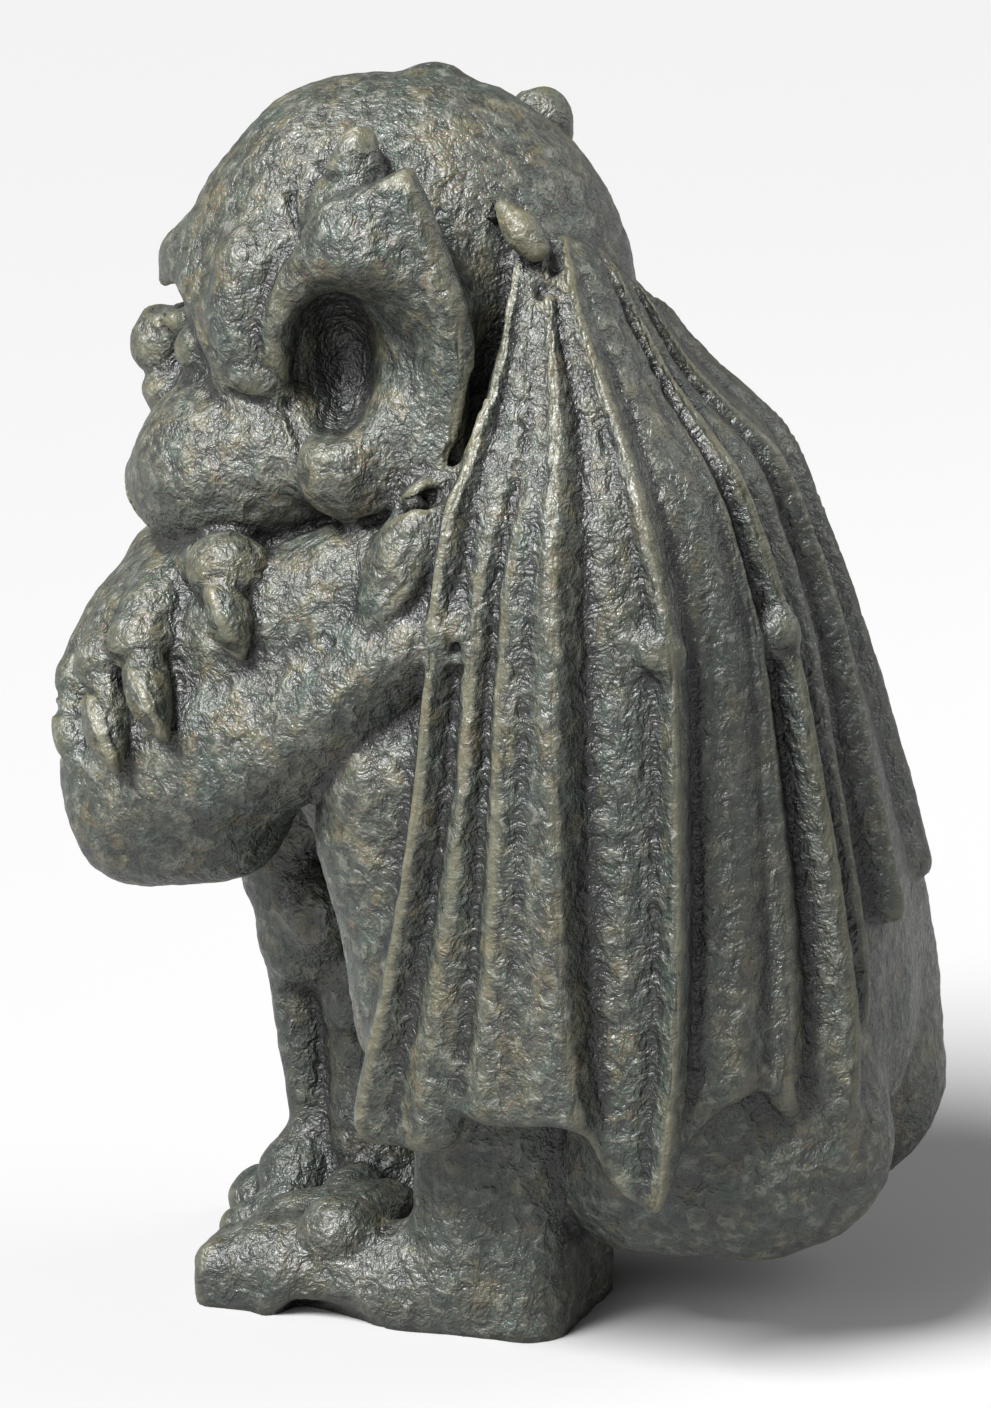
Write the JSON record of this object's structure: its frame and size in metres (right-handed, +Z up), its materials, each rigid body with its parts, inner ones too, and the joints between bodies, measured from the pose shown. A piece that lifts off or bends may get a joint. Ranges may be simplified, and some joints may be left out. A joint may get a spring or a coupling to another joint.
{
  "type": "gargoyle statue",
  "caption": "Squatting gargoyle figure with crossed arms and folded ribbed wings, cast in one piece, standing on its own flat-soled feet.",
  "frame": {"origin": "middle of the bounding box's underside, on the ground under the figure", "axes": "+Z up, the face looks along -Y, the statue's left side is towards +X"},
  "size_m": [0.2214, 0.2828, 0.4118],
  "materials": {
    "patinated_resin": "semi-matt mottled verdigris and stone patina, dark green-grey with ochre and pale flecks, near black in the recesses, over a hammered texture"
  },
  "bodies": {
    "root": {"gargoyle_figure": "patinated_resin"}
  },
  "joints": []
}
